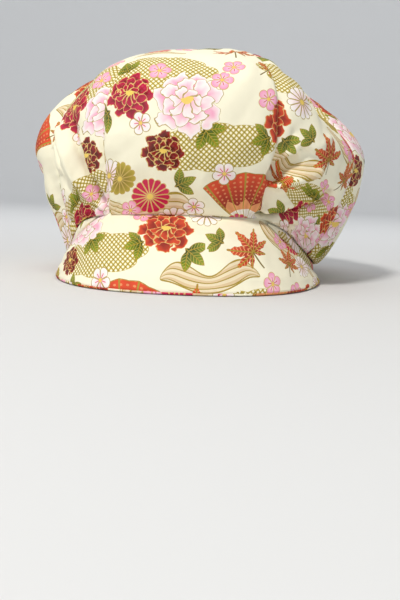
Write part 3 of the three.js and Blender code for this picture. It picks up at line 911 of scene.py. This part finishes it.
flower, (place, kind, form, petal_ink, heart_ink) = new_group("flower")
which, petals, size = split(flower, kind)
notch, rings, fade = split(flower, form)
crumple = node(flower, "ShaderNodeTexNoise", None, None, 2.6, 1.0, 0.5, output=1, noise_dimensions="2D")
flower.links.new(place.socket, crumple.socket.node.inputs["Vector"])
bent = node(flower, "ShaderNodeVectorMath", crumple, (-0.5, -0.5, 0), operation="ADD")
bent = node(flower, "ShaderNodeVectorMath", bent, None, None, rings * 0.42, operation="SCALE")
x, y, _ = split(flower, node(flower, "ShaderNodeVectorMath", place, bent, operation="ADD"))
radius, angle = polar(flower, x, y)
fold = (angle * petals / math.pi).step("PINGPONG", 1.0)
ruffle = (angle * petals * (3 / math.pi)).step("PINGPONG", 1.0) * rings * 0.05
outer = 1 - notch * fold**2.4 - ruffle
inner = 1 - notch * (1 - fold) ** 2.4 - ruffle
edge = outer - radius
middle_edge = rings * 0.74 * inner - radius
centre_edge = rings * 0.45 * outer - radius
in_middle, in_centre = middle_edge > 0, centre_edge > 0
depth = between(between(edge, middle_edge, in_middle), centre_edge, in_centre)
beside = between(1 - fold, fold, in_middle - in_centre) * radius * math.pi / petals
line = 0.55 / size
lines = (depth < line).step("MAXIMUM", beside < line * 0.75)
shade = (depth / fade).step("MINIMUM", 1.0)
colour = paint(flower, petal_ink, heart_ink, shade)
_, petal_green, _ = split(flower, petal_ink)
line_ink = paint(flower, ink("pale gold"), GOLD, petal_green)
colour = paint(flower, colour, line_ink, lines * 0.9)
stamen = (fold * radius < 0.05) * (radius < 0.55) * (petals < 6)
colour = paint(flower, colour, ink("crimson"), stamen)
colour = paint(flower, colour, ink("yellow"), (radius < 0.15) * 0.9)
close_group(flower, colour, (edge > 0) * (which < 1.5))

# %% [markdown]
# A spray is three pointed leaves. The two at the sides are one drawing too, because x is taken
# without its sign. A leaf's half-width is a parabola along its rib.

# %% Draw a spray of leaves
spray, (place, kind, form, leaf_ink, deep_ink) = new_group("spray")
x, y, _ = split(spray, place)
which, _, size = split(spray, kind)
side_x = abs(x)
lean = math.radians(58)
along_side = side_x * math.sin(lean) + y * math.cos(lean)
across_side = abs(side_x * math.cos(lean) - y * math.sin(lean))
span = y + 0.15
side_span = (along_side + 0.02) / 0.85
leaf_edge = span * (1 - span) * 0.95 - side_x
side_edge = side_span * (1 - side_span) * 0.85 - across_side
on_side = side_edge > leaf_edge
depth = leaf_edge.step("MAXIMUM", side_edge)
rib = between(side_x, across_side, on_side)
reach = between(span, side_span, on_side)
veins = ((reach - rib * 0.9) * 7).step("FRACT") < 0.22
line = 0.4 / size
colour = paint(spray, deep_ink, leaf_ink, reach * 1.1 - 0.15)
colour = paint(spray, colour, ink("yellow"), veins * 0.45)
colour = paint(spray, colour, GOLD, (rib < line * 0.7).step("MAXIMUM", depth < line))
close_group(spray, colour, (depth > 0) * (which < 1.5))

# %% [markdown]
# A maple leaf has seven pointed lobes that shorten towards its stalk.

# %% Draw a maple leaf
maple, (place, kind, form, leaf_ink, deep_ink) = new_group("maple")
x, y, _ = split(maple, place)
which, _, size = split(maple, kind)
radius, angle = polar(maple, y, x)
lobe = angle * (8 / (2 * math.pi))
fold = (lobe * 2).step("PINGPONG", 1.0)
number = (lobe + 0.5).step("FLOOR")
length = 1 - number * number * 0.055
teeth = (radius * 9).step("PINGPONG", 1.0) * 0.10
depth = length * (1 - fold**0.95 * 0.56 - teeth) - radius
rib = fold * radius * (math.pi / 8)
line = 0.42 / size
colour = paint(maple, deep_ink, leaf_ink, radius * 1.25)
colour = paint(maple, colour, ink("apricot"), ((radius - rib * 0.9) * 8).step("FRACT") < 0.25)
colour = paint(maple, colour, GOLD, (rib < line * 0.8).step("MAXIMUM", depth < line * 0.8))
stalk = (abs(x) < line) * (y < 0) * (y > -0.62)
colour = paint(maple, colour, ink("dark gold"), stalk)
close_group(maple, colour, (depth > 0).step("MAXIMUM", stalk) * (which > 1.5))

# %% [markdown]
# A folding fan is a piece of a ring, pleated, with a painted border and gold sticks.

# %% Draw a fan
fan, (place, kind, form, leaf_ink, deep_ink) = new_group("fan")
x, y, _ = split(fan, place)
which, _, size = split(fan, kind)
radius, angle = polar(fan, y + 0.62, x)
reach = 0.98
pleat = (angle * 6.5).step("PINGPONG", 1.0)
round_edge = 1.22 - pleat * 0.025 - radius
inner_edge = radius - 0.20
side_edge = (reach - abs(angle)) * radius
depth = round_edge.step("MINIMUM", inner_edge).step("MINIMUM", side_edge)
border = radius > 0.62 + ((angle * 4).step("PINGPONG", 1.0) - 0.5) * 0.16
dots = (((radius * 12).step("FRACT") - 0.5) ** 2 + ((angle * 9).step("FRACT") - 0.5) ** 2) < 0.05
line = 0.45 / size
colour = paint(fan, deep_ink, leaf_ink, radius * 2.0 - 1.2)
colour = paint(fan, colour, ink("apricot"), dots * 0.8)
colour = paint(fan, ink("apricot"), colour, border)
colour = paint(fan, colour, ink("white"), (radius < 0.46))
colour = paint(fan, colour, deep_ink, pleat * 0.25)
colour = paint(fan, colour, GOLD, (pleat < 0.10).step("MAXIMUM", depth < line))
close_group(fan, colour, (depth > 0) * (which > 1.5))

# %% [markdown]
# The net clouds have a scalloped edge and a fine diagonal net with a knot at each crossing. The
# flowing water is a tan band that tapers at both ends, with gold lines along its flow.

# %% Draw a net cloud and flowing water
NET_SPACING = 3.2

net, (place, kind, form, ground_ink, line_ink) = new_group("net")
x, y, _ = split(net, place)
which, _, size = split(net, kind)
radius, angle = polar(net, x, y * CLOUD_FLATNESS)
scallop = (angle * (8 / math.pi)).step("PINGPONG", 1.0)
depth = 0.98 - scallop**2 * 0.12 - (angle * 2 + size).step("SINE") * 0.06 - radius
across = ((x + y) * size / NET_SPACING).step("PINGPONG", 0.5)
down = ((x - y) * size / NET_SPACING).step("PINGPONG", 0.5)
thread = across.step("MINIMUM", down) < 0.21
knot = across.step("MAXIMUM", down) < 0.21
colour = paint(net, ground_ink, line_ink, thread)
colour = paint(net, colour, ink("dark gold"), knot * 0.6)
colour = paint(net, colour, line_ink, depth < 0.5 / size)
close_group(net, colour, (depth > 0) * (which < 1.5))

water, (place, kind, form, ground_ink, line_ink) = new_group("water")
x, y, _ = split(water, place)
which, _, size = split(water, kind)
swell = (x * 4.2 + size).step("SINE") * 0.14
half = (1 - x * x).step("MAXIMUM", 0.0) ** 0.5 * (0.22 + (x * 5 + size).step("SINE") * 0.06)
offset = y - swell + x * x * 0.1
depth = half - abs(offset)
flow = (offset / (half + 0.02) * 1.9 + 0.2 + (x * 6 + size).step("SINE") * 0.35).step("FRACT")
colour = paint(water, ground_ink, ink("cream"), (flow > 0.55) * 0.45)
colour = paint(water, colour, line_ink, (flow < 0.17).step("MAXIMUM", depth < 0.8 / size))
close_group(water, colour, (depth > 0) * (which > 1.5))

# %% [markdown]
# ## The printed cotton
# The material reads each layer's UV map and attributes, and lays the drawings over the cream
# ground in the printer's order. Ink soaks in, so it keeps the cloth's own roughness. A plain weave
# shows as a fine bump, and slubs in the yarn make the colour a touch uneven. The face and the back
# of the cloth share the weave, so it is a node group.

# %% Make the material
# in metres, but for the spacing of the threads, which is in millimetres
THREAD_SPACING, THREAD_HEIGHT, CREASE_BUMP, BACK_BUMP = 0.55, 0.00003, 0.0012, 0.0008
BUMP_STRENGTH, INK_COVER = 0.6, 0.96
YARN_SHADE, BACK_SHADE = (0.86, 0.80, 0.62, 1), (0.74, 0.66, 0.50, 1)

weave, (cloth_place,) = new_group("weave", {"Pattern": "Vector"}, {"Threads": "Float"})
u, v, _ = split(weave, cloth_place)
per_thread = UV_UNIT * math.pi / THREAD_SPACING
close_group(weave, (u * per_thread).step("SINE") * (v * per_thread).step("SINE"))


def new_material(name):
    material = bpy.data.materials.new(name)
    material.use_nodes = True
    return material, material.node_tree, material.node_tree.nodes["Principled BSDF"]


def woven(tree, pattern):
    made = tree.nodes.new("ShaderNodeGroup")
    made.node_tree = weave
    feed(tree, pattern, made.inputs["Pattern"])
    return Value(tree, made.outputs["Threads"])


def raise_surface(tree, surface, height):
    bump = tree.nodes.new("ShaderNodeBump")
    bump.inputs["Strength"].default_value = BUMP_STRENGTH
    bump.inputs["Distance"].default_value = 1.0
    feed(tree, height, bump.inputs["Height"])
    tree.links.new(bump.outputs["Normal"], surface.inputs["Normal"])


cotton, tree, surface = new_material("printed_cotton")


def told(layer, label):
    return node(tree, "ShaderNodeAttribute", attribute_name=layer + "_" + label, output=1)


def draw(group, layer):
    made = tree.nodes.new("ShaderNodeGroup")
    made.node_tree = group
    facts = [told(layer, label) for label in ("kind", "form", "ink", "heart")]
    for socket, value in zip(made.inputs, [node(tree, "ShaderNodeUVMap", uv_map=layer), *facts]):
        feed(tree, value, socket)
    return Value(tree, made.outputs["Color"]), Value(tree, made.outputs["Mask"])


pattern = node(tree, "ShaderNodeUVMap", uv_map="pattern")
slub = node(tree, "ShaderNodeTexNoise", None, None, 9.0, 3.0, 0.6, noise_dimensions="2D")
tree.links.new(pattern.socket, slub.socket.node.inputs["Vector"])
colour = paint(tree, ink("cream"), YARN_SHADE, slub * 0.35)
for group, layer in (
    (water, "clouds"), (net, "clouds"), (spray, "leaves"), (fan, "leaves"),
    (maple, "blooms"), (flower, "blooms"), (flower, "blossoms"),
):
    above, mask = draw(group, layer)
    colour = paint(tree, colour, above, mask * INK_COVER)
feed(tree, colour, surface.inputs["Base Color"])

small_creases = node(tree, "ShaderNodeTexNoise", None, None, 6.0, 2.0, 0.5, noise_dimensions="2D")
tree.links.new(pattern.socket, small_creases.socket.node.inputs["Vector"])
raise_surface(tree, surface, woven(tree, pattern) * THREAD_HEIGHT + small_creases * CREASE_BUMP)
feed(tree, slub * 0.15 + 0.78, surface.inputs["Roughness"])
surface.inputs["Sheen Weight"].default_value = 0.03
surface.inputs["Sheen Roughness"].default_value = 0.5
surface.inputs["Specular IOR Level"].default_value = 0.12
print("printed cotton:", len(tree.nodes), "nodes")

# %% [markdown]
# Ink hardly comes through to the back of the cloth, so the hollow crown is plain cream inside. The
# Solidify modifier gives the inner faces the second material.

# %% Make the back of the cloth
backing, tree, surface = new_material("cotton_back")
pattern = node(tree, "ShaderNodeUVMap", uv_map="pattern")
cloud = node(tree, "ShaderNodeTexNoise", pattern, None, 2.2, 4.0, 0.6, noise_dimensions="2D")
threads = woven(tree, pattern)
colour = paint(tree, ink("cream"), BACK_SHADE, cloud * 0.5 + threads * 0.05)
feed(tree, colour, surface.inputs["Base Color"])
raise_surface(tree, surface, threads * THREAD_HEIGHT + cloud * BACK_BUMP)
surface.inputs["Roughness"].default_value = 0.88
surface.inputs["Specular IOR Level"].default_value = 0.25

for solid, piece in pieces.items():
    piece.data.materials.append(cotton)
    if solid.startswith("crown"):
        piece.data.materials.append(backing)
        piece.modifiers["wall"].material_offset = 1
print("back of the cloth:", len(tree.nodes), "nodes")

# %% [markdown]
# ## Floor and light
# A round studio floor curves up into a wall, so that no edge shows from any side. It is one
# profile, spun round the middle.

# %% Make the floor
FLOOR_RADIUS, COVE_RADIUS, WALL_HEIGHT, COVE_STEPS = 1.9, 0.8, 2.2, 12
sweep = bmesh.new()
profile = [sweep.verts.new((0, 0, 0)), sweep.verts.new((FLOOR_RADIUS, 0, 0))]
for step in range(1, COVE_STEPS + 1):
    angle = math.radians(90 * step / COVE_STEPS)
    profile.append(sweep.verts.new(
        (FLOOR_RADIUS + COVE_RADIUS * math.sin(angle), 0, COVE_RADIUS * (1 - math.cos(angle)))
    ))
profile.append(sweep.verts.new((FLOOR_RADIUS + COVE_RADIUS, 0, WALL_HEIGHT)))
lines = [sweep.edges.new(pair) for pair in zip(profile, profile[1:])]
bmesh.ops.spin(
    sweep, geom=profile + lines, cent=(0, 0, 0), axis=(0, 0, 1), dvec=(0, 0, 0),
    angle=2 * math.pi, steps=72, use_merge=True, use_duplicate=False,
)
bmesh.ops.remove_doubles(sweep, verts=sweep.verts[:], dist=0.0001)
bmesh.ops.recalc_face_normals(sweep, faces=sweep.faces[:])
if sum(face.normal.z for face in sweep.faces) < 0:
    bmesh.ops.reverse_faces(sweep, faces=sweep.faces[:])
for face in sweep.faces:
    face.smooth = True
floor_mesh = bpy.data.meshes.new("floor")
sweep.to_mesh(floor_mesh)
sweep.free()
floor = bpy.data.objects.new("floor", floor_mesh)
bpy.context.scene.collection.objects.link(floor)
pale, _, surface = new_material("pale_floor")
surface.inputs["Base Color"].default_value = (0.74, 0.755, 0.775, 1)
surface.inputs["Roughness"].default_value = 0.9
floor_mesh.materials.append(pale)
print("floor:", len(floor_mesh.polygons), "faces")

# %% [markdown]
# One small, strong lamp stands for the window, high in front and to the left. It draws the shade in
# the folds. The others are wide and weak, and keep that shade open.

# %% Place the lights
# name, place, what it points at, size, power, colour
LIGHTS = [
    ("window", (-0.45, -1.05, 1.30), (0, 0, 0.07), 0.22, 18.5, (1.0, 0.965, 0.90)),
    ("fill", (0.3, -1.7, 0.35), (0, 0, 0.07), 1.0, 2.4, (1.0, 0.985, 0.96)),
    ("overhead", (-0.2, 0.2, 1.5), (0, 0, 0.07), 1.0, 4.5, (1.0, 0.99, 0.97)),
    ("backdrop", (0.0, 0.5, 1.6), (0, 2.7, 1.0), 1.8, 15, (0.97, 0.985, 1.0)),
]
for name, place, aim, size, power, colour in LIGHTS:
    lamp = bpy.data.lights.new(name, "AREA")
    lamp.shape = "SQUARE"
    lamp.size = size
    lamp.energy = power
    lamp.color = colour
    light = bpy.data.objects.new(name, lamp)
    light.location = place
    light.rotation_euler = (Vector(aim) - Vector(place)).to_track_quat("-Z", "Y").to_euler()
    bpy.context.scene.collection.objects.link(light)
world = bpy.data.worlds.new("studio")
world.use_nodes = True
world.node_tree.nodes["Background"].inputs["Color"].default_value = (1.0, 0.985, 0.96, 1)
world.node_tree.nodes["Background"].inputs["Strength"].default_value = 0.30
bpy.context.scene.world = world
bpy.context.scene.view_settings.view_transform = "Standard"
print(len(LIGHTS), "lights")
